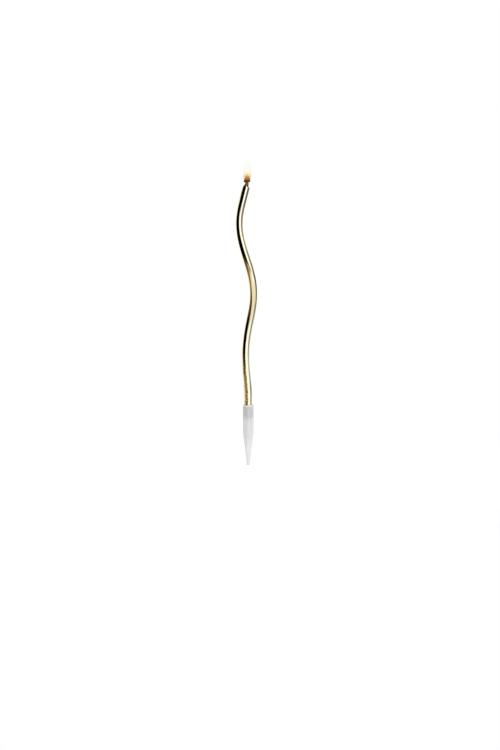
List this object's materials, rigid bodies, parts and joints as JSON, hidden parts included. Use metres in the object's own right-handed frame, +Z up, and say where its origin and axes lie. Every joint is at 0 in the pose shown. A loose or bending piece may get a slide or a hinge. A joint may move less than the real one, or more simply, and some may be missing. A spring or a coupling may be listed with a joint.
{
  "type": "spiral birthday candle",
  "caption": "Slender rod candle that winds upward in a widening spiral, with a metallic gold skin, cone nose and wick, standing in a push-in plastic holder with a tapered spike.",
  "frame": {"origin": "on the holder's axis, on the surface that the spike is pushed into", "axes": "+Z up along the holder's axis towards the wick; the front faces -Y, with +X to its right"},
  "size_m": [0.0135, 0.016, 0.1786],
  "materials": {
    "holder_plastic": "satin",
    "wax": "satin",
    "gold_skin": "polished",
    "wick_cotton": "matte"
  },
  "bodies": {
    "holder": {"holder": "holder_plastic"},
    "candle": {"wax_body": "wax", "gold_coating": "gold_skin", "wick": "wick_cotton"}
  },
  "joints": [
    {"name": "candle_pull", "type": "slide", "parent": "holder", "child": "candle", "axis": [0, 0, 1], "range_m": [0, 0.014]}
  ]
}
